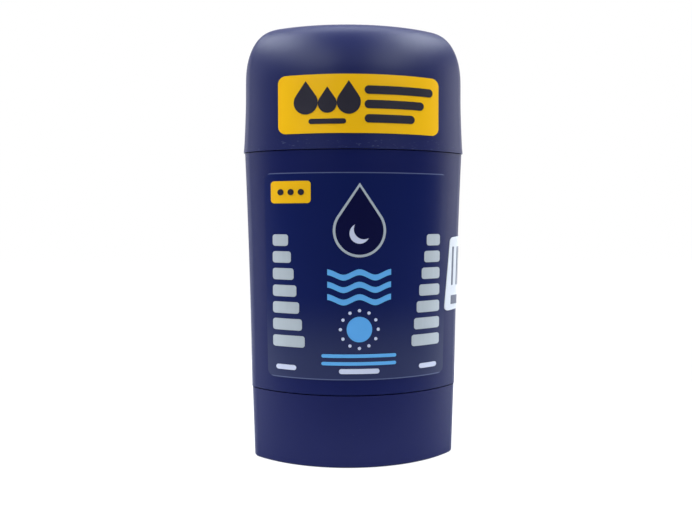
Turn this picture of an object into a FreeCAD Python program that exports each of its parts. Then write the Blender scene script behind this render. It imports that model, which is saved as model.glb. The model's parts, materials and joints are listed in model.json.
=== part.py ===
"""A twist-up deodorant stick in an oval, gently tapered pack.

Millimetres, +Z up, +X to the right of the front face, the front face looks along -Y, and the
origin is the middle of the foot. A dial under the foot turns a left-hand screw. The carrier on the
screw cannot turn in its oval chamber, so it climbs one lead for each turn and pushes the cast
stick out of the mouth.
"""

import FreeCAD
import Part
import os
from math import acos, atan2, cos, hypot, pi, radians, sin, sqrt, tan

Vector = FreeCAD.Vector

# The oval section, given where the pack is widest, at the rim of the cap
rim_half_width = 30.0
rim_half_depth = 17.0
face_bulge = 0.7367
side_bulge = 2.4913
face_radius = rim_half_width**2 / rim_half_depth * face_bulge
side_radius = rim_half_depth**2 / rim_half_width * side_bulge
corner_radius = 4.5
depth_share = rim_half_depth / rim_half_width

# Levels of the outside, from the table up
seam_height = 19.35
shoulder_height = 82.5
crest_height = 118.0
base_belly_height = seam_height * 0.47
waist_height = seam_height + (shoulder_height - seam_height) * 0.485

# How far each part of the outside is narrower than the rim of the cap
cap_overhang = 0.35
cap_spring_taper = 0.7
waist_taper = 1.35
barrel_foot_taper = 1.85
base_top_taper = 2.0
base_belly_taper = 2.28
foot_taper = 2.55

# Half-widths of the outside
barrel_shoulder_half_width = rim_half_width - cap_overhang
cap_spring_half_width = rim_half_width - cap_spring_taper
barrel_waist_half_width = rim_half_width - waist_taper
barrel_foot_half_width = rim_half_width - barrel_foot_taper
base_top_half_width = rim_half_width - base_top_taper
base_belly_half_width = rim_half_width - base_belly_taper
foot_half_width = rim_half_width - foot_taper

# Base: a skirt that stands on the table, a web that bears the screw, and a plug for the barrel
base_wall = 1.4
foot_round = 0.5
seam_gap = 0.3
seam_depth = 0.7
web_top = 15.6
web_thickness = 1.6
plug_height = 6.0
plug_wall = 1.2
plug_clearance = 0.08

# Barrel: an outer wall, a collar that takes the cap, and a straight inner chamber for the stick
barrel_wall = 1.5
ledge = 1.65
collar_height = 6.0
collar_wall = 1.3
bead_height = 1.2
bead_proud = 0.12
bead_level = 2.4
chamber_wall = 1.2
chamber_gap_across = 6.05
chamber_gap_deep = 5.0
chamber_foot_gap = 1.65
mouth_rise = 13.5
chamber_half_width = barrel_shoulder_half_width - chamber_gap_across
chamber_half_depth = barrel_shoulder_half_width * depth_share - chamber_gap_deep
mouth_height = shoulder_height + mouth_rise

# Cap
cap_gap = 0.2
cap_wall = 1.4
dome_height = 18.0
cap_crown_half_width = rim_half_width * 0.367
cap_crown_half_depth = rim_half_depth * 0.235
cap_round_across = 2.6
cap_round_deep = 2.1
cap_rib_thickness = 0.8
cap_rib_gap = 0.3
cap_rib_clearance = 1.4
cap_rib_rise = 2.0
cap_rib_spacing = rim_half_width * 0.3
cap_spring_height = crest_height - dome_height

# Screw, dial and their bearing in the web
lead = 4.0
turns = 10.5
travel = lead * turns
core_radius = 3.0
crest_radius = 4.0
ridge_root = 1.7
ridge_crest = 0.9
ridge_sunk = 0.2
thread_margin = 1.2
thread_clearance = 0.25
journal_radius = 3.2
bearing_clearance = 0.08
flange_radius = 6.0
flange_thickness = 1.4
end_float = 0.15
tang_across_flats = 5.0
tang_length = 9.0
tang_clearance = 0.05
snap_radius = 2.95
snap_level = 2.0
snap_height = 1.0
dial_margin = 1.75
dial_rib_radius = 0.42
dial_radius = foot_half_width * depth_share - base_wall - dial_margin
dial_rib_count = 36
dial_lift = 1.0
dial_floor = 1.5
dial_wall = 1.3
dial_hub_radius = 5.0
dial_dish_radius = dial_radius - 3.4
dial_dish_depth = 0.5
dial_wall_top_gap = 1.6

# Carrier and cast stick
slide_clearance = 0.25
mouth_margin = 2.0
platform_level = mouth_height - mouth_margin - travel
platform_thickness = 1.6
cup_depth = 4.0
cup_wall = 1.0
carrier_skirt = 9.0
hub_radius = 6.8
hub_length = 15.0
carrier_rib_thickness = 1.0
carrier_rib_height = 6.0
peg_radius = 1.3
peg_head_radius = 1.8
peg_height = 2.6
peg_head_height = 0.9
peg_offset = chamber_half_width * 0.57
stick_headroom = 8.0
stick_crest = crest_height - stick_headroom
stick_crown_half_width = chamber_half_width * 0.36
stick_crown_half_depth = chamber_half_depth * 0.255
stick_round_across = 2.4
stick_round_deep = 2.1
screw_bore_clearance = 0.3
screw_bore_headroom = 1.5
screw_reach = 38.0
screw_top = platform_level + screw_reach

# Protective cover over the stick
seal_wall = 0.7
seal_gap = 0.3
seal_skirt = 4.0
seal_fit = 0.2
seal_grip_length = 12.0
seal_grip_thickness = 1.2
seal_grip_height = 1.6

# Films and inks
label_film = 0.12
ink_film = 0.08
label_margin_low = 3.95
label_margin_high = 5.7
label_side_margin_low = 4.55
label_side_margin_high = 5.35
label_corner = 1.8
cap_sticker_rise = 3.9
cap_sticker_height = 14.8
cap_sticker_width = rim_half_width * 1.4
cap_sticker_corner = 2.0
cap_sticker_shift = 0.4
side_sticker_level = 0.325
side_sticker_height = 20.0
side_sticker_front = -rim_half_depth * 0.441
side_sticker_back = rim_half_depth * 0.341
side_sticker_lean = 1.2
side_sticker_corner = 1.2
side_mark_count = 3
side_mark_length = 10.5
side_mark_thickness = 0.45
side_mark_pitch = 1.7
side_mark_start = side_sticker_front + 1.9
side_mark_level = 7.0
side_block_height = 2.4
side_block_width = 2.6
side_block_level = 1.8
label_bottom = seam_height + label_margin_low
label_top = shoulder_height - label_margin_high
label_bottom_half_width = barrel_foot_half_width - label_side_margin_low
label_top_half_width = barrel_shoulder_half_width - label_side_margin_high
side_sticker_bottom = seam_height + (shoulder_height - seam_height) * side_sticker_level

# Printed fields: where each one sits on the front, from the middle and up from the table
flash_left = -22.6
flash_width = 10.2
flash_middle = 71.8
flash_height = 5.7
flash_corner = 0.9
flash_dot = 0.8
flash_dot_pitch = 2.6
drop_middle = 64.6
drop_height = 19.0
drop_line = 0.65
glint_radius = 2.6
glint_shift = 1.1
glint_drop = 3.4
step_edge = 22.2
step_low = 33.0
step_height = 3.0
step_pitch = 4.4
step_count = 7
step_long = 8.2
step_short = 4.0
step_corner = 0.7
wave_width = 16.5
wave_thickness = 1.5
wave_swing = 0.7
wave_top = 50.6
wave_pitch = 3.2
wave_count = 3
badge_middle = 36.5
badge_radius = 3.3
badge_tick_radius = 4.9
badge_tick_size = 0.42
badge_tick_count = 12
rule_width = 19.5
rule_height = 0.9
rule_top = 29.6
rule_pitch = 2.0
bar_height = 1.3
foot_bar_width = 10.5
foot_bar_middle = 25.6
side_bar_width = 5.2
side_bar_offset = 18.8
side_bar_middle = 26.1
mark_left = -13.6
mark_height = 8.4
mark_middle = 95.6
mark_pitch = 5.4
mark_step = 1.8
mark_bar_width = 9.4
mark_bar_middle = 89.6
line_middle = 10.4
line_width = 18.4
line_height = 2.1
line_top = 97.5
line_pitch = 3.6
line_shrink = 0.14

# Sizes that follow from those above
web_bottom = web_top - web_thickness
plug_top = seam_height + plug_height
chamber_bottom = plug_top + chamber_foot_gap
collar_top = shoulder_height + collar_height
cap_bottom = shoulder_height + cap_gap
platform_underside = platform_level - platform_thickness
dial_top = web_bottom - end_float
flange_bottom = web_top + end_float
thread_start = flange_bottom + flange_thickness
DEEP = 2 * rim_half_width

base_sections = [
    (foot_half_width, 0.0),
    (base_belly_half_width, base_belly_height),
    (base_top_half_width, seam_height),
]
barrel_sections = [
    (barrel_foot_half_width, seam_height),
    (barrel_waist_half_width, waist_height),
    (barrel_shoulder_half_width, shoulder_height),
]


def clock_point(centre, radius, turn, height):
    """A point on a circle, with the turn in radians measured from +Y towards +X."""
    return Vector(centre[0] + radius * sin(turn), centre[1] + radius * cos(turn), height)


def arc(centre, radius, start, end, height):
    """A flat arc as a plain cubic, which lofts more smoothly than a true circle."""
    first = clock_point(centre, radius, start, height)
    last = clock_point(centre, radius, end, height)
    handle = radius * 4 / 3 * tan((end - start) / 4)
    second = first + Vector(cos(start), -sin(start), 0) * handle
    third = last - Vector(cos(end), -sin(end), 0) * handle
    curve = Part.BezierCurve()
    curve.setPoles([first, second, third, last])
    return curve.toBSpline().toShape()


def corner_centre(half_width, half_depth, face, side, corner):
    """The centre of the arc that touches the face arc and the side arc from inside."""
    to_side_x = half_width - side
    to_side_y = face - half_depth
    apart = hypot(to_side_x, to_side_y)
    reach_face = face - corner
    reach_side = side - corner
    along = (reach_face**2 - reach_side**2 + apart**2) / (2 * apart)
    off = sqrt(reach_face**2 - along**2)
    unit_x, unit_y = to_side_x / apart, to_side_y / apart
    return (along * unit_x + off * unit_y, half_depth - face + along * unit_y - off * unit_x)


def true_arc(centre, radius, start, end, height):
    turns = (start, (start + end) / 2, end)
    return Part.Arc(*[clock_point(centre, radius, turn, height) for turn in turns]).toShape()


def oval(half_width, height, inset=0.0, half_depth=None, edge=arc):
    """A closed wire of eight tangent arcs. An inset moves every arc inwards by the same distance."""
    half_depth = half_depth or half_width * depth_share
    across = half_width / rim_half_width
    deep = half_depth / rim_half_depth
    face = face_radius * across**2 / deep
    side = side_radius * deep**2 / across
    corner = corner_radius * (across + deep) / 2
    mid_x, mid_y = corner_centre(half_width, half_depth, face, side, corner)
    face_y = half_depth - face
    side_x = half_width - side
    face_turn = atan2(mid_x, mid_y - face_y)
    side_turn = atan2(mid_x - side_x, mid_y)
    arcs = [
        ((0, face_y), face, -face_turn, face_turn),
        ((mid_x, mid_y), corner, face_turn, side_turn),
        ((side_x, 0), side, side_turn, pi - side_turn),
        ((mid_x, -mid_y), corner, pi - side_turn, pi - face_turn),
        ((0, -face_y), face, pi - face_turn, pi + face_turn),
        ((-mid_x, -mid_y), corner, pi + face_turn, pi + side_turn),
        ((-side_x, 0), side, pi + side_turn, 2 * pi - side_turn),
        ((-mid_x, mid_y), corner, 2 * pi - side_turn, 2 * pi - face_turn),
    ]
    edges = []
    for centre, radius, start, end in arcs:
        edges.append(edge(centre, radius - inset, start, end, height))
    return Part.Wire(edges)


def prism(half_width, bottom, top, inset=0.0, half_depth=None, edge=true_arc):
    """A straight-sided oval block."""
    face = Part.Face(oval(half_width, bottom, inset, half_depth, edge))
    return face.extrude(Vector(0, 0, top - bottom))


def tapered(sections, inset=0.0, ruled=False):
    """A smooth oval block through (half-width, height) sections."""
    return Part.makeLoft([oval(width, height, inset) for width, height in sections], True, ruled)


def width_at(sections, height):
    """The half-width of a smooth three-section side at a height, by its parabola."""
    total = 0.0
    for i, (width, level) in enumerate(sections):
        share = width
        for j, (_, other) in enumerate(sections):
            if j != i:
                share *= (height - other) / (level - other)
        total += share
    return total


def dome_sections(spring, crown, bottom, top, across, deep):
    """(half-width, half-depth, height) from the spring line to the crown, along superelliptic rounds."""
    found = []
    for turn in (0, 15, 30, 44, 56, 67, 77, 84, 90):
        rise = sin(radians(turn))
        out_across = (1 - rise**across) ** (1 / across)
        out_deep = (1 - rise**deep) ** (1 / deep)
        found.append(
            (
                crown[0] + (spring[0] - crown[0]) * out_across,
                crown[1] + (spring[1] - crown[1]) * out_deep,
                bottom + (top - bottom) * rise,
            )
        )
    return found


def dome(sections, inset=0.0):
    """A smooth oval block through (half-width, half-depth, height) sections, all inset alike."""
    rings = [oval(width, height, inset, depth) for width, depth, height in sections]
    return Part.makeLoft(rings, True, False)


def cylinder(radius, bottom, top, x=0.0, y=0.0):
    return Part.makeCylinder(radius, top - bottom, Vector(x, y, bottom))


def block(x_half, y_half, bottom, top, x=0.0, y=0.0):
    return Part.makeBox(2 * x_half, 2 * y_half, top - bottom, Vector(x - x_half, y - y_half, bottom))


def hexagon(across_flats, bottom, top):
    corner = across_flats / sqrt(3)
    points = []
    for i in range(7):
        turn = radians(60 * i)
        points.append(Vector(corner * cos(turn), corner * sin(turn), bottom))
    return Part.Face(Part.makePolygon(points)).extrude(Vector(0, 0, top - bottom))


def screw(core, crest, root, tip, bottom, top):
    """A left-hand screw: a core, and a trapezium carried up a helix that stops short of both ends."""
    flank = (root - tip) / 2 / (crest - core)
    inner = core - ridge_sunk
    foot = root / 2 + ridge_sunk * flank
    corners = [(inner, -foot), (crest, -tip / 2), (crest, tip / 2), (inner, foot), (inner, -foot)]
    profile = Part.makePolygon([Vector(x, 0, z) for x, z in corners])
    helix = Part.makeHelix(lead, top - bottom - 2 * thread_margin, core, 0, True)
    ridge = Part.Wire(helix.Edges).makePipeShell([profile], True, True)
    ridge.translate(Vector(0, 0, bottom + thread_margin))
    return cylinder(core, bottom, top).fuse(ridge)


def make_spindle():
    rod = screw(core_radius, crest_radius, ridge_root, ridge_crest, thread_start, screw_top)
    flange = cylinder(flange_radius, flange_bottom, thread_start)
    journal = cylinder(journal_radius, web_bottom - end_float, flange_bottom)
    tang = hexagon(tang_across_flats, dial_top - tang_length, web_bottom - end_float)
    snap_bottom = dial_top - tang_length + snap_level
    snap = cylinder(snap_radius, snap_bottom, snap_bottom + snap_height)
    return rod.fuse([flange, journal, tang, snap]).removeSplitter()


def make_dial():
    wall_top = dial_top - dial_wall_top_gap
    body = cylinder(dial_radius, dial_lift, wall_top)
    hollow = cylinder(dial_radius - dial_wall, dial_lift + dial_floor, wall_top)
    body = body.cut(hollow)
    ribs = []
    for i in range(dial_rib_count):
        turn = 2 * pi * i / dial_rib_count
        x, y = dial_radius * cos(turn), dial_radius * sin(turn)
        ribs.append(cylinder(dial_rib_radius, dial_lift + dial_floor / 2, wall_top, x, y))
    body = body.fuse(ribs)
    body = body.fuse(cylinder(dial_hub_radius, dial_lift, dial_top))
    socket_bottom = dial_top - tang_length - tang_clearance
    body = body.cut(hexagon(tang_across_flats + 2 * tang_clearance, socket_bottom, dial_top))
    snap_bottom = dial_top - tang_length + snap_level - tang_clearance
    snap_top = snap_bottom + snap_height + 2 * tang_clearance
    body = body.cut(cylinder(snap_radius + tang_clearance, snap_bottom, snap_top))
    return body.cut(cylinder(dial_dish_radius, dial_lift, dial_lift + dial_dish_depth)).removeSplitter()


def make_base():
    outer = tapered(base_sections).common(block(DEEP, DEEP, foot_round, seam_height - seam_gap))
    outer = outer.fuse(foot_edge())
    land = prism(width_at(base_sections, seam_height), web_bottom, seam_height, seam_depth)
    plug_inset = barrel_wall + plug_clearance
    plug = prism(barrel_foot_half_width, web_bottom, plug_top, plug_inset)
    body = outer.fuse([land, plug])
    body = body.cut(tapered(base_sections, base_wall).common(block(DEEP, DEEP, -1, web_bottom)))
    body = body.cut(prism(barrel_foot_half_width, web_top, plug_top, plug_inset + plug_wall))
    bearing = cylinder(journal_radius + bearing_clearance, web_bottom - 1, web_top + 1)
    return body.cut(bearing).removeSplitter()


def foot_edge():
    """The rounded edge the pack stands on, as three short flats."""
    rings = []
    for turn in (0, 30, 60, 90):
        inset = foot_round * (1 - sin(radians(turn)))
        level = foot_round * (1 - cos(radians(turn)))
        rings.append(oval(width_at(base_sections, level), level, inset))
    return Part.makeLoft(rings, True, True)


def make_barrel():
    outer = tapered(barrel_sections)
    collar = prism(barrel_shoulder_half_width, shoulder_height - 1, collar_top, ledge)
    tube = prism(chamber_half_width, chamber_bottom, mouth_height, -chamber_wall, chamber_half_depth)
    bead_bottom = shoulder_height + bead_level
    bead = Part.makeLoft(
        [
            oval(barrel_shoulder_half_width, bead_bottom, ledge + 0.3),
            oval(barrel_shoulder_half_width, bead_bottom + bead_height / 2, ledge - bead_proud),
            oval(barrel_shoulder_half_width, bead_bottom + bead_height, ledge + 0.3),
        ],
        True,
        True,
    )
    body = outer.fuse([collar, bead])
    void_top = shoulder_height - barrel_wall
    void = tapered(barrel_sections, barrel_wall).common(block(DEEP, DEEP, 0, void_top))
    collar_inset = ledge + collar_wall
    collar_void_top = collar_top - collar_wall
    collar_void = prism(barrel_shoulder_half_width, void_top - 1, collar_void_top, collar_inset)
    body = body.cut(void.fuse(collar_void))
    body = body.fuse(tube)
    chamber = prism(chamber_half_width, chamber_bottom - 1, mouth_height + 1, 0.0, chamber_half_depth)
    return body.cut(chamber).removeSplitter()


def cap_outline(shrink):
    """The cap's outside, or its inside when every size shrinks by the wall."""
    spring_depth = cap_spring_half_width * depth_share
    wall = []
    for share in (0, 0.3, 0.65):
        flare = (rim_half_width - cap_spring_half_width) * (1 - share) ** 2
        width = cap_spring_half_width + flare
        level = cap_bottom + (cap_spring_height - cap_bottom) * share
        wall.append((width - shrink, width * depth_share - shrink, level))
    rounds = dome_sections(
        (cap_spring_half_width - shrink, spring_depth - shrink),
        (cap_crown_half_width - shrink / 2, cap_crown_half_depth - shrink / 2),
        cap_spring_height,
        crest_height - shrink,
        cap_round_across,
        cap_round_deep,
    )
    return dome(wall + rounds)


def make_cap():
    shell = cap_outline(0.0)
    void = cap_outline(cap_wall)
    ribs = cap_ribs().common(void)
    return shell.cut(void).fuse(ribs).removeSplitter()


def cap_ribs():
    """Upright ribs inside the wall. Their feet stop the cap on the barrel's collar."""
    bottom = collar_top + cap_rib_gap
    top = cap_spring_height + cap_rib_rise
    clear = chamber_wall + cap_rib_clearance
    keep_clear = prism(chamber_half_width, bottom - 1, top + 1, -clear, chamber_half_depth)
    half = cap_rib_thickness / 2
    ribs = []
    for i in (-2, -1, 1, 2):
        ribs.append(block(half, DEEP, bottom, top, cap_rib_spacing * i))
    ribs.append(block(DEEP, half, bottom, top))
    return ribs[0].fuse(ribs[1:]).cut(keep_clear)


def make_carrier():
    fit = slide_clearance
    wide, deep = chamber_half_width, chamber_half_depth
    bottom = platform_level - carrier_skirt
    body = prism(wide, bottom, platform_level + cup_depth, fit, deep)
    body = body.cut(prism(wide, platform_level, platform_level + cup_depth, fit + cup_wall, deep))
    body = body.cut(prism(wide, bottom, platform_underside, fit + cup_wall, deep))
    body = body.fuse(cylinder(hub_radius, platform_level - hub_length, platform_level + cup_depth))
    half = carrier_rib_thickness / 2
    rib_bottom = platform_underside - carrier_rib_height
    cross = block(DEEP, half, rib_bottom, platform_underside).fuse(
        [block(half, DEEP, rib_bottom, platform_underside, x) for x in (-peg_offset, 0, peg_offset)]
    )
    body = body.fuse(cross.common(prism(wide, rib_bottom, platform_underside, fit + cup_wall / 2, deep)))
    body = body.fuse(anchor_pegs())
    gap = thread_clearance
    leads_down = int((platform_level - hub_length - thread_start) / lead) - 1
    cutter_bottom = thread_start + lead * leads_down
    cutter = screw(
        core_radius + gap,
        crest_radius + gap,
        ridge_root + 2 * gap,
        ridge_crest + 2 * gap,
        cutter_bottom,
        platform_level + cup_depth + 2 * lead,
    )
    return body.cut(cutter).removeSplitter()


def anchor_pegs():
    """The headed pegs that the stick is cast around."""
    top = platform_level + peg_height
    pegs = []
    for x in (-peg_offset, peg_offset):
        pegs.append(cylinder(peg_radius, platform_level - 1, top, x))
        pegs.append(cylinder(peg_head_radius, top - peg_head_height, top, x))
    return pegs


def make_stick():
    fit = slide_clearance
    cup_top = platform_level + cup_depth
    wide, deep = chamber_half_width, chamber_half_depth
    foot = prism(wide, platform_level, cup_top, fit + cup_wall, deep)
    shaft = prism(wide, cup_top, mouth_height, fit, deep, arc)
    top = dome(stick_sections(mouth_height, stick_crest), fit)
    bore_radius = crest_radius + screw_bore_clearance
    bore = cylinder(bore_radius, platform_level, screw_top + screw_bore_headroom)
    hub = cylinder(hub_radius, platform_level, cup_top)
    body = foot.fuse([shaft, top])
    return body.cut([bore, hub] + anchor_pegs()).removeSplitter()


def stick_sections(bottom, top):
    """Sections of the stick's rounded end, as wide as the chamber at the bottom."""
    spring = (chamber_half_width, chamber_half_depth)
    crown = (stick_crown_half_width, stick_crown_half_depth)
    return dome_sections(spring, crown, bottom, top, stick_round_across, stick_round_deep)


def make_seal():
    """A thin cover pushed over the mouth, whose inside shapes the top of the stick."""
    outer_growth = seal_gap + seal_wall
    base_level = mouth_height + seal_gap
    lid = dome(stick_sections(base_level, stick_crest + outer_growth), slide_clearance - outer_growth)
    skirt_foot = mouth_height - seal_skirt
    grow = chamber_wall + seal_fit
    skirt_top = base_level + seal_wall
    skirt = prism(chamber_half_width, skirt_foot, skirt_top, -grow - seal_wall, chamber_half_depth)
    body = lid.fuse(skirt)
    body = body.cut(prism(chamber_half_width, skirt_foot - 1, base_level, -grow, chamber_half_depth))
    hollow = dome(stick_sections(mouth_height, stick_crest + seal_gap), slide_clearance - seal_gap)
    body = body.cut(hollow)
    top = stick_crest + outer_growth
    grip_foot = top - seal_wall / 2
    grip = block(seal_grip_length / 2, seal_grip_thickness / 2, grip_foot, top + seal_grip_height)
    return body.fuse(grip).removeSplitter()


def rounded_outline(points, radius):
    """A closed flat outline in the XZ plane with every corner rounded."""
    count = len(points)
    edges = []
    starts = []
    ends = []
    arcs = []
    for i in range(count):
        here = Vector(points[i][0], 0, points[i][1])
        before = Vector(points[i - 1][0], 0, points[i - 1][1]) - here
        after = Vector(points[(i + 1) % count][0], 0, points[(i + 1) % count][1]) - here
        half = acos(before.dot(after) / before.Length / after.Length) / 2
        before.normalize()
        after.normalize()
        reach = radius / (sin(half) / cos(half))
        middle = before + after
        middle.normalize()
        arc_mid = here + middle * (radius / sin(half) - radius)
        starts.append(here + before * reach)
        ends.append(here + after * reach)
        arcs.append(Part.Arc(starts[-1], arc_mid, ends[-1]).toShape())
    for i in range(count):
        edges.append(arcs[i])
        if (starts[(i + 1) % count] - ends[i]).Length > 1e-6:
            edges.append(Part.makeLine(ends[i], starts[(i + 1) % count]))
    return Part.Wire(edges)


def forwards(wire):
    """The block in front of the pack that a flat outline cuts out."""
    return Part.Face(wire).extrude(Vector(0, -DEEP, 0))


def plate(x, z, width, height, corner):
    """A flat bar with rounded corners."""
    half_w, half_h = width / 2, height / 2
    points = [(x - half_w, z - half_h), (x + half_w, z - half_h)]
    points += [(x + half_w, z + half_h), (x - half_w, z + half_h)]
    return forwards(rounded_outline(points, corner))


def pill(x, z, width, height):
    """A bar with round ends."""
    return plate(x, z, width, height, height * 0.49)


def disc(x, z, radius):
    circle = Part.Circle(Vector(x, 0, z), Vector(0, 1, 0), radius).toShape()
    return forwards(Part.Wire([circle]))


def skin(sections, inner, outer, outline):
    """The part of a thin skin over a tapered side, from inner to outer, that lies in the outline."""
    region = tapered(sections, -outer).common(outline)
    return region.cut(tapered(sections, -inner))


def drop(x, z, height, grow=0.0):
    """A water drop: a round bowl with two flanks that meet in a point."""
    radius = height * 0.36 + grow
    bowl = z - height * 0.14
    tip = Vector(x, 0, z + height / 2 + grow * 1.5)
    lean = acos(radius / (tip.z - bowl))
    left = Vector(x - radius * sin(lean), 0, bowl + radius * cos(lean))
    right = Vector(x + radius * sin(lean), 0, bowl + radius * cos(lean))
    low = Vector(x, 0, bowl - radius)
    round_side = Part.Arc(left, low, right).toShape()
    return forwards(Part.Wire([round_side, Part.makeLine(right, tip), Part.makeLine(tip, left)]))


def wave(x, z):
    """A band that swings up and down along its width."""
    upper = []
    lower = []
    for i in range(9):
        along = x - wave_width / 2 + wave_width * i / 8
        swing = wave_swing * cos(pi * i / 2)
        upper.append(Vector(along, 0, z + swing + wave_thickness / 2))
        lower.append(Vector(along, 0, z + swing - wave_thickness / 2))
    over = Part.BSplineCurve()
    over.interpolate(upper)
    under = Part.BSplineCurve()
    under.interpolate(lower)
    right = Part.makeLine(upper[-1], lower[-1])
    left = Part.makeLine(lower[0], upper[0])
    return forwards(Part.Wire([over.toShape(), right, under.toShape(), left]))


def united(blocks):
    return blocks[0].fuse(blocks[1:]) if len(blocks) > 1 else blocks[0]


def inked(sections, outlines, base_film=label_film):
    """One colour of print: every outline cut from the thin skin over a film."""
    ink = tapered(sections, -base_film - ink_film).common(united(outlines))
    return ink.cut(tapered(sections, -base_film))


def make_front_label():
    low, high = label_bottom_half_width, label_top_half_width
    points = [(-low, label_bottom), (low, label_bottom), (high, label_top), (-high, label_top)]
    return skin(barrel_sections, 0.0, label_film, forwards(rounded_outline(points, label_corner)))


def make_back_label():
    label = make_front_label()
    label.rotate(Vector(0, 0, 0), Vector(0, 0, 1), 180)
    return label


def make_label_prints():
    flash_x = flash_left + flash_width / 2
    flash = plate(flash_x, flash_middle, flash_width, flash_height, flash_corner)
    dots = [disc(flash_x + flash_dot_pitch * i, flash_middle, flash_dot) for i in (-1, 0, 1)]
    steps = []
    for i in range(step_count):
        length = step_long + (step_short - step_long) * i / (step_count - 1)
        for side in (-1, 1):
            x = side * (step_edge - length / 2)
            steps.append(plate(x, step_low + step_pitch * i, length, step_height, step_corner))
    ticks = []
    for i in range(badge_tick_count):
        turn = 2 * pi * i / badge_tick_count
        x = badge_tick_radius * sin(turn)
        ticks.append(disc(x, badge_middle + badge_tick_radius * cos(turn), badge_tick_size))
    waves = [wave(0, wave_top - wave_pitch * i) for i in range(wave_count)]
    rules = [pill(0, rule_top - rule_pitch * i, rule_width, rule_height) for i in range(2)]
    foot_bars = [pill(0, foot_bar_middle, foot_bar_width, bar_height)]
    for side in (-1, 1):
        foot_bars.append(pill(side * side_bar_offset, side_bar_middle, side_bar_width, bar_height))
    inner = drop(0, drop_middle, drop_height, -drop_line)
    outline = drop(0, drop_middle, drop_height).cut(inner)
    glint_level = drop_middle - glint_drop
    bite = disc(glint_shift, glint_level + glint_shift, glint_radius)
    glint = disc(0, glint_level, glint_radius).cut(bite)
    return {
        "label_flash_yellow": inked(barrel_sections, [flash]),
        "label_flash_dots": inked(barrel_sections, dots, label_film + ink_film),
        "label_steps_silver": inked(barrel_sections, steps),
        "label_drop_silver": inked(barrel_sections, [outline]),
        "label_drop_navy": inked(barrel_sections, [inner.cut(glint)]),
        "label_waves_blue": inked(barrel_sections, waves + rules),
        "label_badge_blue": inked(barrel_sections, [disc(0, badge_middle, badge_radius)]),
        "label_ticks_white": inked(barrel_sections, ticks + foot_bars + [glint]),
    }


def make_cap_sticker():
    half_w = cap_sticker_width / 2
    low = cap_bottom + cap_sticker_rise
    high = low + cap_sticker_height
    x = cap_sticker_shift
    points = [(x - half_w, low), (x + half_w, low), (x + half_w, high), (x - half_w, high)]
    outline = forwards(rounded_outline(points, cap_sticker_corner))
    return cap_outline(-label_film).common(outline).cut(cap_outline(0.0))


def make_cap_print():
    marks = []
    for i in range(3):
        small = i % 2
        height = mark_height - mark_step * small
        marks.append(drop(mark_left + mark_pitch * i, mark_middle - mark_step / 3 * small, height))
    marks.append(pill(mark_left + mark_pitch, mark_bar_middle, mark_bar_width, bar_height))
    for i in range(3):
        width = line_width * (1 - line_shrink * i)
        middle = line_middle - (line_width - width) / 2
        marks.append(pill(middle, line_top - line_pitch * i, width, line_height))
    return cap_outline(-label_film - ink_film).common(united(marks)).cut(cap_outline(-label_film))


def sideways(points, radius):
    """The block to the right of the pack that an outline of (depth, height) corners cuts out."""
    wire = rounded_outline(points, radius)
    wire.rotate(Vector(0, 0, 0), Vector(0, 0, 1), 90)
    return Part.Face(wire).extrude(Vector(DEEP, 0, 0))


def make_side_sticker():
    low, high = side_sticker_bottom, side_sticker_bottom + side_sticker_height
    front, back, lean = side_sticker_front, side_sticker_back, side_sticker_lean
    points = [(front, low), (back, low + lean), (back + lean, high + lean), (front + lean, high)]
    return skin(barrel_sections, 0.0, label_film, sideways(points, side_sticker_corner))


def make_side_print():
    """Upright bars over one short block, without any meaning."""
    low = side_sticker_bottom + side_mark_level
    high = low + side_mark_length
    marks = []
    for i in range(side_mark_count):
        y = side_mark_start + side_mark_pitch * i
        far = y + side_mark_thickness
        marks.append(sideways([(y, low), (far, low), (far, high), (y, high)], side_mark_thickness / 3))
    foot = side_sticker_bottom + side_block_level
    top = foot + side_block_height
    near = side_mark_start
    far = near + side_block_width
    marks.append(sideways([(near, foot), (far, foot), (far, top), (near, top)], side_mark_thickness / 3))
    return inked(barrel_sections, marks)


def main():
    os.makedirs("parts", exist_ok=True)
    made = {
        "base": make_base(),
        "barrel": make_barrel(),
        "dial": make_dial(),
        "spindle": make_spindle(),
        "stick_carrier": make_carrier(),
        "deodorant_stick": make_stick(),
        "seal_cover": make_seal(),
        "cap": make_cap(),
        "front_label": make_front_label(),
        "back_label": make_back_label(),
        "cap_sticker": make_cap_sticker(),
        "cap_sticker_print": make_cap_print(),
        "side_sticker": make_side_sticker(),
        "side_sticker_print": make_side_print(),
    }
    made.update(make_label_prints())
    for name, shape in made.items():
        shape.exportStep("parts/" + name + ".step")
        print(name, shape.isValid(), len(shape.Solids), round(shape.Volume, 1), shape.BoundBox)


main()
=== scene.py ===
import json
import math

import bmesh
import bpy
import numpy as np
from mathutils import Matrix, Vector

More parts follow.
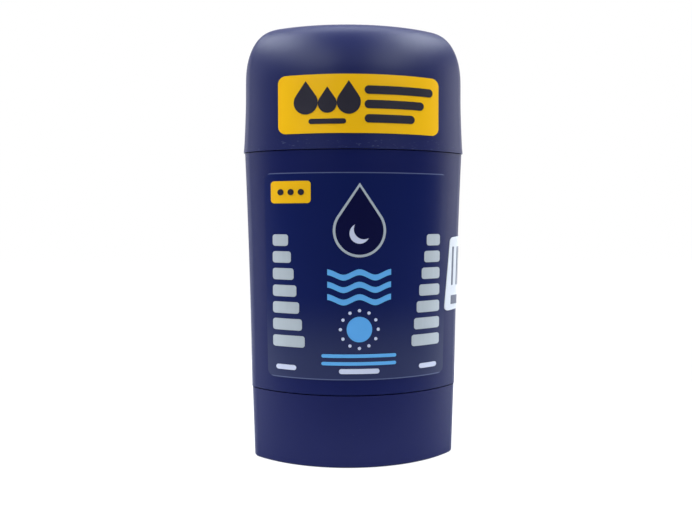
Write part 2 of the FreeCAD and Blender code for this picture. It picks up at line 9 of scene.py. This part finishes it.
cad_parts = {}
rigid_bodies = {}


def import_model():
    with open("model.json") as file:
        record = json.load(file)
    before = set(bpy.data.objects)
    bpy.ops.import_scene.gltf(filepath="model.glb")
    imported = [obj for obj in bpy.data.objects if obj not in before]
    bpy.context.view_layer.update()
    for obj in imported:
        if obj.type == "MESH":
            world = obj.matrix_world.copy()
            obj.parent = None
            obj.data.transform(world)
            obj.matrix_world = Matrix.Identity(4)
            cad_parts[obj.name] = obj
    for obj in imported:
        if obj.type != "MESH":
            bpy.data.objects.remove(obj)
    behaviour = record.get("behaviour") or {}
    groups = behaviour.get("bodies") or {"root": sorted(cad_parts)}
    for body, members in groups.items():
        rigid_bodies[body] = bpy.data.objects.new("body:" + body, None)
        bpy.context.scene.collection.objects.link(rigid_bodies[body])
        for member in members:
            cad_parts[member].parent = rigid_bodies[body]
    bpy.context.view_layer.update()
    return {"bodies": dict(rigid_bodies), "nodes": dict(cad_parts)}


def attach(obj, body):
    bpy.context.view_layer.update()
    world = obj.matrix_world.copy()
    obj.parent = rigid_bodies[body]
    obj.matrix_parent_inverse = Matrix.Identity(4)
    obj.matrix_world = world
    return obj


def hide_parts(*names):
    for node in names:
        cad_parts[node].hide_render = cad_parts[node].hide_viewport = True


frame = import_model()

bodies = frame["bodies"]
nodes = frame["nodes"]
mm = 0.001

# Colours are linear. Lengths are in metres, as everywhere in this file.
print("stage: camera and light")

cameraLook = {
    "place": (-0.01915, -0.20914, 0.06525),
    "turn": 4.645,
    "pitch": -3.16,
    "lens": 39.49,
    "sensor": 36.0,
}
lightLook = {
    "roomColor": (0.80, 0.86, 1.0),
    "roomStrength": 0.006,
    "wallStrength": 0.62,
    "topLeft": 5.6,
    "topRight": 5.2,
    "topMiddle": 3.0,
    "key": 4.1,
    "sideLeft": 2.2,
    "sideRight": 2.2,
    "tint": (0.86, 0.92, 1.0),
}


rayKinds = ("Is Camera Ray", "Is Glossy Ray", "Is Transmission Ray")


class Wire:
    """A node socket that can be used in sums, so a formula reads as it is written."""

    def __init__(self, tree, socket):
        self.tree = tree
        self.socket = socket

    def math(self, kind, other=None, third=None, clamp=False):
        node = self.tree.nodes.new("ShaderNodeMath")
        node.operation = kind
        node.use_clamp = clamp
        for slot, value in enumerate((self, other, third)):
            if value is None:
                continue
            if isinstance(value, Wire):
                self.tree.links.new(value.socket, node.inputs[slot])
            else:
                node.inputs[slot].default_value = value
        return Wire(self.tree, node.outputs[0])

    def __add__(self, other):
        return self.math("ADD", other)

    def __radd__(self, other):
        return self.math("ADD", other)

    def __sub__(self, other):
        return self.math("SUBTRACT", other)

    def __rsub__(self, other):
        return (self * -1.0) + other

    def __mul__(self, other):
        return self.math("MULTIPLY", other)

    def __rmul__(self, other):
        return self.math("MULTIPLY", other)

    def __truediv__(self, other):
        return self.math("DIVIDE", other)

    def __gt__(self, other):
        return self.math("GREATER_THAN", other)

    def __lt__(self, other):
        return self.math("LESS_THAN", other)

    def size(self):
        return self.math("ABSOLUTE")

    def atMost(self, other):
        return self.math("MINIMUM", other)

    def atLeast(self, other):
        return self.math("MAXIMUM", other)

    def ramp(self, low, high):
        """0 below low, 1 above high, and smooth between them."""
        node = self.tree.nodes.new("ShaderNodeMapRange")
        node.interpolation_type = "SMOOTHSTEP"
        self.tree.links.new(self.socket, node.inputs[0])
        node.inputs[1].default_value = low
        node.inputs[2].default_value = high
        return Wire(self.tree, node.outputs[0])


class Tree:
    """The nodes of one material, and the ways this file adds to them."""

    def __init__(self, tree):
        self.tree = tree
        tree.nodes.clear()

    def node(self, kind, settings=None, inputs=None, output=0):
        node = self.tree.nodes.new(kind)
        for key, value in (settings or {}).items():
            setattr(node, key, value)
        for key, value in (inputs or {}).items():
            if isinstance(value, Wire):
                self.tree.links.new(value.socket, node.inputs[key])
            else:
                node.inputs[key].default_value = value
        return Wire(self.tree, node.outputs[output])

    def place(self):
        """The point on the object in millimetres."""
        point = self.node("ShaderNodeTexCoord", output=3)
        return self.node("ShaderNodeVectorMath", {"operation": "SCALE"}, {0: point, "Scale": 1000.0})

    def axes(self):
        split = self.tree.nodes.new("ShaderNodeSeparateXYZ")
        self.tree.links.new(self.place().socket, split.inputs[0])
        return [Wire(self.tree, split.outputs[i]) for i in range(3)]

    def stretched(self, factors):
        return self.node("ShaderNodeVectorMath", {"operation": "MULTIPLY"}, {0: self.place(), 1: factors})

    def noise(self, scale, detail=3.0, rough=0.5, factors=None):
        """Cloudy noise from 0 to 1 with about scale blotches a millimetre."""
        where = self.stretched(factors) if factors else self.place()
        return self.node(
            "ShaderNodeTexNoise",
            {"noise_dimensions": "3D"},
            {"Vector": where, "Scale": scale, "Detail": detail, "Roughness": rough},
        )

    def mixed(self, factor, first, second):
        return self.node(
            "ShaderNodeMix",
            {"data_type": "RGBA"},
            {0: factor, 6: first, 7: second},
            output=2,
        )

    def bump(self, height, distance, strength=1.0, normal=None):
        inputs = {"Height": height, "Distance": distance, "Strength": strength}
        if normal:
            inputs["Normal"] = normal
        return self.node("ShaderNodeBump", {}, inputs)

    def seenOrMirrored(self):
        """1 for a ray from the camera, a gloss or a clear part."""
        path = self.tree.nodes.new("ShaderNodeLightPath")
        straight, mirrored, through = [Wire(self.tree, path.outputs[name]) for name in rayKinds]
        return straight.atLeast(mirrored).atLeast(through)

    def finish(self, shader):
        out = self.tree.nodes.new("ShaderNodeOutputMaterial")
        self.tree.links.new(shader.socket, out.inputs["Surface"])


def rgba(color):
    return (color[0], color[1], color[2], 1.0)


def newMaterial(name):
    material = bpy.data.materials.new(name)
    material.use_nodes = True
    return material, Tree(material.node_tree)


def plastic(name, look, extra=None):
    """Moulded plastic: fine spark-eroded grain, slow colour drift, faint rub marks and dust specks."""
    material, tree = newMaterial(name)
    cloud = tree.noise(look["cloudScale"], 3.0)
    color = tree.mixed(cloud, rgba(look["color"]), rgba(look["drift"]))
    scratch = tree.noise(look["rubScale"], 2.0, 0.4, look["rubStretch"])
    rub = scratch.ramp(look["rubFrom"], look["rubFrom"] + 0.12)
    speck = tree.node(
        "ShaderNodeTexVoronoi",
        {"feature": "F1"},
        {"Vector": tree.place(), "Scale": look["speckScale"]},
    )
    dust = speck.math("LESS_THAN", look["speckSize"]) * (tree.noise(0.4) > 0.62)
    color = tree.mixed(dust * look["speckWeight"], color, rgba(look["speckColor"]))
    if extra:
        color = extra(tree, color)
    grain = tree.noise(look["grainScale"], 2.0, 0.6)
    rough = cloud * look["roughDrift"] + look["rough"] - rub * look["rubShine"]
    shader = tree.node(
        "ShaderNodeBsdfPrincipled",
        {},
        {
            "Base Color": color,
            "Roughness": rough,
            "Normal": tree.bump(grain, look["grainDepth"], look["grainStrength"]),
            "IOR": look.get("ior", 1.5),
            "Specular IOR Level": look.get("sheen", 0.5),
            "Subsurface Weight": look.get("milky", 0.0),
            "Subsurface Scale": 0.001,
            "Coat Weight": look.get("coat", 0.0),
            "Coat Roughness": look.get("coatRough", 0.2),
            "Transmission Weight": look.get("clear", 0.0),
        },
    )
    tree.finish(shader)
    return material


def dress(names, material):
    for name in names:
        for slot in nodes[name].material_slots:
            slot.material = material
        if not nodes[name].material_slots:
            nodes[name].data.materials.append(material)


print("stage: crown of the cap")

crownLook = {
    "level": 0.111,
    "crest": 0.118,
    "press": 0.0022,
    "wall": 0.0014,
}


def pressedCrown(name, look):
    """The cap with a flatter crown.

    Above a level a point falls by the press times the cube of its share of the way from that
    level to the crest. The inner face falls as the outer face over it does, and the shading
    normals turn with the slope of the new height over the old one.
    """
    mesh = nodes["cap"].data.copy()
    mesh.name = name
    points = np.empty(len(mesh.vertices) * 3)
    mesh.vertices.foreach_get("co", points)
    points = points.reshape(-1, 3)
    corners = np.empty(len(mesh.loops), dtype=np.int32)
    mesh.loops.foreach_get("vertex_index", corners)
    normals = np.empty(len(mesh.loops) * 3)
    mesh.corner_normals.foreach_get("vector", normals)
    normals = normals.reshape(-1, 3)
    upward = np.zeros(len(points))
    np.add.at(upward, corners, normals[:, 2])
    covered = points[:, 2] + np.where(upward < 0, look["wall"], 0.0)
    rise = look["crest"] - look["level"]
    share = np.clip((covered - look["level"]) / rise, 0.0, 1.0)
    points[:, 2] -= look["press"] * share**3
    slope = 1.0 - 3.0 * look["press"] / rise * share[corners] ** 2
    normals[:, 2] /= slope
    normals /= np.linalg.norm(normals, axis=1, keepdims=True)
    mesh.vertices.foreach_set("co", points.ravel())
    kept = mesh.attributes.new("crownNormal", "FLOAT_VECTOR", "CORNER")
    kept.data.foreach_set("vector", normals.ravel())
    whole = bmesh.new()
    whole.from_mesh(mesh)
    bmesh.ops.remove_doubles(whole, verts=whole.verts, dist=1e-7)
    whole.to_mesh(mesh)
    whole.free()
    kept = mesh.attributes["crownNormal"]
    normals = np.empty(len(mesh.loops) * 3)
    kept.data.foreach_get("vector", normals)
    mesh.normals_split_custom_set(normals.reshape(-1, 3).tolist())
    mesh.attributes.remove(mesh.attributes["crownNormal"])
    piece = bpy.data.objects.new(name, mesh)
    bpy.context.scene.collection.objects.link(piece)
    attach(piece, "cap")
    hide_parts("cap")
    return piece


capShell = pressedCrown("capShell", crownLook)


print("stage: plastic")

packLook = {
    "color": (0.0006, 0.0042, 0.060),
    "drift": (0.0010, 0.0052, 0.068),
    "cloudScale": 0.06,
    "rough": 0.38,
    "sheen": 0.24,
    "roughDrift": 0.06,
    "rubScale": 0.5,
    "rubStretch": (1.0, 1.0, 0.15),
    "rubFrom": 0.62,
    "rubShine": 0.03,
    "speckScale": 0.7,
    "speckSize": 0.035,
    "speckWeight": 0.35,
    "speckColor": (0.20, 0.22, 0.32),
    "grainScale": 5.0,
    "grainDepth": 0.00006,
    "grainStrength": 0.35,
}
capLook = dict(
    packLook,
    rough=0.40,
    sheen=0.30,
    rimFrom=82.9,
    rimTo=87.0,
    scuffFrom=0.66,
    scuffWeight=0.55,
    scuffColor=(0.10, 0.12, 0.20),
)
baseLook = dict(packLook, color=(0.0022, 0.0052, 0.062), drift=(0.0030, 0.0064, 0.070), rough=0.42)
dialLook = dict(packLook, color=(0.006, 0.008, 0.055), grainScale=3.0)
whiteLook = dict(
    packLook,
    color=(0.76, 0.76, 0.73),
    drift=(0.80, 0.80, 0.78),
    rough=0.34,
    sheen=0.5,
    speckColor=(0.4, 0.4, 0.4),
    milky=0.15,
)
sealLook = dict(whiteLook, color=(0.70, 0.73, 0.74), drift=(0.76, 0.79, 0.80), rough=0.28, milky=0.25)
stickLook = dict(
    whiteLook,
    color=(0.80, 0.82, 0.82),
    drift=(0.86, 0.87, 0.87),
    rough=0.5,
    grainScale=1.6,
    grainDepth=0.0001,
    milky=0.35,
)


def capScuffs(tree, color):
    """Short pale scuffs just above the rim, where the cap is gripped and pushed home."""
    x, y, z = tree.axes()
    near = (1.0 - z.ramp(capLook["rimFrom"], capLook["rimTo"])) * (z > capLook["rimFrom"] - 0.2)
    flecks = tree.noise(1.0, 2.0, 0.6, (0.8, 0.8, 3.5)).ramp(capLook["scuffFrom"], capLook["scuffFrom"] + 0.05)
    return tree.mixed(near * flecks * capLook["scuffWeight"], color, rgba(capLook["scuffColor"]))


capShell.data.materials.clear()
capShell.data.materials.append(plastic("capPlastic", capLook, capScuffs))
dress(["cap"], capShell.data.materials[0])
dress(["barrel"], plastic("barrelPlastic", packLook))
dress(["base"], plastic("basePlastic", baseLook))
dress(["dial"], plastic("dialPlastic", dialLook))
dress(["spindle"], plastic("spindlePlastic", whiteLook))
dress(["stick_carrier"], plastic("carrierPlastic", whiteLook))
dress(["seal_cover"], plastic("sealPlastic", sealLook))
dress(["deodorant_stick"], plastic("castStick", stickLook))

print("stage: labels and stickers")

filmLook = dict(
    packLook,
    color=(0.0022, 0.0074, 0.066),
    drift=(0.0030, 0.0088, 0.074),
    rough=0.30,
    roughDrift=0.04,
    rubShine=0.01,
    grainScale=1.2,
    grainDepth=0.00003,
    # Painted reflection of the floor: the film is painted greyer and lighter towards its foot.
    paintedReflectionColor=(0.030, 0.036, 0.085),
    paintedReflectionTop=46.0,
    paintedReflectionBottom=27.0,
    paintedReflectionEdge=17.0,
    low=23.3,
    high=76.8,
    # Painted highlight: a pale band along the film's top and bottom cut edges stands in for the catch-light on
    # the edge.
    catchLightWidth=0.28,
    catchLightColor=(0.10, 0.12, 0.22),
)


def filmPaintedLight(tree, color):
    """Navy film that fades to a greyer blue near its foot, a painted reflection of the floor, and has a painted
    catch-light as a pale band along its top and bottom cut edges.
    """
    x, y, z = tree.axes()
    # Painted reflection: a greyer, lighter blue towards the film's foot, where the floor would light it.
    paintedReflection = 1.0 - z.ramp(filmLook["paintedReflectionBottom"], filmLook["paintedReflectionTop"])
    color = tree.mixed(paintedReflection * 0.75, color, rgba(filmLook["paintedReflectionColor"]))
    # Painted highlight: the pale band at the top and bottom cut edges is a painted catch-light.
    rim = (z > filmLook["high"] - filmLook["catchLightWidth"]).atLeast(z < filmLook["low"] + filmLook["catchLightWidth"])
    return tree.mixed(rim * 0.8, color, rgba(filmLook["catchLightColor"]))


def backPrint(tree, color):
    """Rows of short pale dashes that stand for small print."""
    color = filmPaintedLight(tree, color)
    x, y, z = tree.axes()
    row = z.math("PINGPONG", 0.9)
    letter = tree.node(
        "ShaderNodeTexNoise",
        {"noise_dimensions": "2D"},
        {"Vector": tree.stretched((1.6, 0.0, 0.55)), "Scale": 1.0, "Detail": 0.0},
    )
    inside = (x.size() < 19.0) * (z > 31.0) * (z < 69.0)
    dash = (row < 0.32) * (letter > 0.44) * inside
    return tree.mixed(dash * 0.8, color, rgba((0.42, 0.46, 0.56)))


def sticker(name, color, drift, rough=0.33, coat=0.0, crease=0.0, sheen=0.25):
    """Printed film: even ink, faint mottling, slight waviness where it is stuck down."""
    material, tree = newMaterial(name)
    cloud = tree.noise(0.12, 3.0)
    fine = tree.noise(3.5, 2.0, 0.6)
    shade = tree.mixed(cloud * 0.7 + fine * 0.3, rgba(color), rgba(drift))
    waves = tree.noise(0.35, 2.0) + fine * 0.03
    shader = tree.node(
        "ShaderNodeBsdfPrincipled",
        {},
        {
            "Base Color": shade,
            "Roughness": cloud * 0.08 + rough,
            "Specular IOR Level": sheen,
            "Coat Weight": coat,
            "Coat Roughness": 0.25,
            "Normal": tree.bump(waves, 0.00012 + crease, 0.4),
        },
    )
    tree.finish(shader)
    return material


dress(["front_label"], plastic("frontFilm", filmLook, filmPaintedLight))
dress(["back_label"], plastic("backFilm", filmLook, backPrint))
dress(["cap_sticker"], sticker("stickerYellow", (0.84, 0.44, 0.0006), (0.89, 0.48, 0.001)))
dress(["side_sticker"], sticker("stickerWhite", (0.62, 0.64, 0.66), (0.68, 0.70, 0.72)))
dress(["label_flash_yellow"], sticker("inkYellow", (0.80, 0.42, 0.003), (0.86, 0.46, 0.004)))
dress(["label_drop_navy"], plastic("inkNavy", dict(filmLook, color=(0.0012, 0.0016, 0.030), drift=(0.0016, 0.0022, 0.036))))
dress(["cap_sticker_print", "label_flash_dots"], sticker("inkDark", (0.010, 0.008, 0.016), (0.020, 0.016, 0.026), 0.45, 0.0))
dress(["side_sticker_print"], sticker("inkGrey", (0.12, 0.13, 0.17), (0.18, 0.19, 0.23), 0.5, 0.0))
dress(["label_waves_blue"], sticker("inkBlue", (0.10, 0.36, 0.68), (0.13, 0.41, 0.74)))
dress(["label_badge_blue"], sticker("inkBadge", (0.09, 0.34, 0.68), (0.12, 0.39, 0.75)))
dress(["label_ticks_white"], sticker("inkWhite", (0.52, 0.54, 0.66), (0.62, 0.64, 0.74)))

silverLook = {"color": (0.42, 0.46, 0.47), "drift": (0.53, 0.57, 0.58), "rough": 0.42}


def silverInk(name, look):
    """Metallic ink: fine flakes, brushed a little along the height."""
    material, tree = newMaterial(name)
    flake = tree.noise(9.0, 2.0, 0.7)
    streak = tree.noise(0.5, 2.0, 0.5, (3.0, 3.0, 0.4))
    shade = tree.mixed(flake * 0.6 + streak * 0.4, rgba(look["color"]), rgba(look["drift"]))
    shader = tree.node(
        "ShaderNodeBsdfPrincipled",
        {},
        {
            "Base Color": shade,
            "Metallic": 0.35,
            "Roughness": flake * 0.12 + look["rough"],
            "Normal": tree.bump(flake, 0.00003, 0.3),
        },
    )
    tree.finish(shader)
    return material


dress(["label_steps_silver", "label_drop_silver"], silverInk("inkSilver", silverLook))

print("stage: floor, camera and lamps")


def quad(name, corners):
    mesh = bpy.data.meshes.new(name)
    mesh.from_pydata([tuple(c) for c in corners], [], [(0, 1, 2, 3)])
    thing = bpy.data.objects.new(name, mesh)
    bpy.context.scene.collection.objects.link(thing)
    return thing


# The paper colours that reflections and bounce see are painted shade in front of the object and a painted pool of
# light behind it.
floorLook = {
    "frontEdge": -110.0,
    "backEdge": 20.0,
    "near": (0.06, 0.065, 0.08, 1),
    "far": (0.80, 0.81, 0.84, 1),
    "white": (0.95, 0.95, 0.95, 1),
    "glow": 1.02,
    "glowShare": 0.75,
    "shadeReach": (50.0, 170.0),
}
floor = quad("floor", [(-2, -2, 0), (2, -2, 0), (2, 2, 0), (-2, 2, 0)])
floorMaterial, floorTree = newMaterial("paper")
paperGrain = floorTree.noise(0.8, 2.0)
# Painted shade and light: the paper is painted dark in front of the object and light behind it.
paperLitBehind = floorTree.axes()[1].ramp(floorLook["frontEdge"], floorLook["backEdge"]) * 0.95 + paperGrain * 0.05
paper = floorTree.node(
    "ShaderNodeBsdfPrincipled",
    {},
    {"Base Color": floorTree.mixed(paperLitBehind, floorLook["near"], floorLook["far"]), "Roughness": 0.9},
)
shaded = floorTree.node("ShaderNodeBsdfDiffuse", {}, {"Color": floorLook["white"]})
glow = floorTree.node("ShaderNodeEmission", {}, {"Color": (1, 1, 1, 1), "Strength": floorLook["glow"]})
reach = floorTree.node("ShaderNodeVectorMath", {"operation": "LENGTH"}, {0: floorTree.place()}, output=1)
glowing = reach.ramp(*floorLook["shadeReach"]).atLeast(floorLook["glowShare"])
bright = floorTree.node("ShaderNodeMixShader", {}, {0: glowing, 1: shaded, 2: glow})
seen = floorTree.node("ShaderNodeLightPath", output=0)
floorTree.finish(floorTree.node("ShaderNodeMixShader", {}, {0: seen, 1: paper, 2: bright}))
floor.data.materials.append(floorMaterial)

wall = quad("wall", [(-1.6, 0.9, 0), (1.6, 0.9, 0), (1.6, 0.9, 1.5), (-1.6, 0.9, 1.5)])
wallMaterial, wallTree = newMaterial("wall")
wallGlow = wallTree.node("ShaderNodeEmission", {}, {"Color": (1, 1, 1, 1), "Strength": lightLook["wallStrength"]})
wallSeen = wallTree.seenOrMirrored()
wallWhite = wallTree.node("ShaderNodeEmission", {}, {"Color": (1, 1, 1, 1), "Strength": 1.0})
wallTree.finish(wallTree.node("ShaderNodeMixShader", {}, {0: wallSeen, 1: wallGlow, 2: wallWhite}))
wall.data.materials.append(wallMaterial)

world = bpy.data.worlds.new("studio")
bpy.context.scene.world = world
world.use_nodes = True
sky = Tree(world.node_tree)
roomLook = {"Color": rgba(lightLook["roomColor"]), "Strength": lightLook["roomStrength"]}
dim = sky.node("ShaderNodeBackground", {}, roomLook)
white = sky.node("ShaderNodeBackground", {}, {"Color": (1, 1, 1, 1), "Strength": 1.0})
direct = sky.node("ShaderNodeLightPath", output=0)
room = sky.node("ShaderNodeMixShader", {}, {0: direct, 1: dim, 2: white})
skyOut = world.node_tree.nodes.new("ShaderNodeOutputWorld")
world.node_tree.links.new(room.socket, skyOut.inputs["Surface"])


def lamp(name, place, target, width, height, power, color=(1, 1, 1)):
    data = bpy.data.lights.new(name, "AREA")
    data.shape = "RECTANGLE"
    data.size = width
    data.size_y = height
    data.energy = power
    data.color = color
    thing = bpy.data.objects.new(name, data)
    bpy.context.scene.collection.objects.link(thing)
    thing.location = place
    thing.rotation_euler = (Vector(target) - Vector(place)).to_track_quat("-Z", "Y").to_euler()
    return thing


middle = (0.0, 0.0, 0.06)
lamp("topLeft", (-0.44, -0.02, 0.62), (-0.01, 0, 0.11), 0.50, 0.30, lightLook["topLeft"], lightLook["tint"])
lamp("topRight", (0.40, -0.02, 0.62), (0.01, 0, 0.11), 0.50, 0.30, lightLook["topRight"], lightLook["tint"])
lamp("topMiddle", (0.0, 0.12, 0.75), (0, 0, 0.11), 0.5, 0.25, lightLook["topMiddle"], lightLook["tint"])
lamp("keyLeft", (-0.48, -0.72, 0.66), (0, 0, 0.07), 0.5, 0.35, lightLook["key"], lightLook["tint"])
lamp("keyRight", (0.48, -0.72, 0.66), (0, 0, 0.07), 0.5, 0.35, lightLook["key"], lightLook["tint"])
lamp("sideLeft", (-0.65, 0.22, 0.12), middle, 0.5, 0.5, lightLook["sideLeft"], (0.93, 0.95, 1))
lamp("sideRight", (0.65, 0.20, 0.12), middle, 0.5, 0.5, lightLook["sideRight"], (0.95, 0.96, 1))

camera = bpy.data.cameras.new("camera")
camera.sensor_width = cameraLook["sensor"]
camera.lens = cameraLook["lens"]
camera.clip_start = 0.01
cameraThing = bpy.data.objects.new("camera", camera)
bpy.context.scene.collection.objects.link(cameraThing)
cameraThing.location = cameraLook["place"]
cameraThing.rotation_euler = (math.radians(90 + cameraLook["pitch"]), 0, -math.radians(cameraLook["turn"]))
bpy.context.scene.camera = cameraThing
bpy.context.scene.view_settings.view_transform = "Standard"
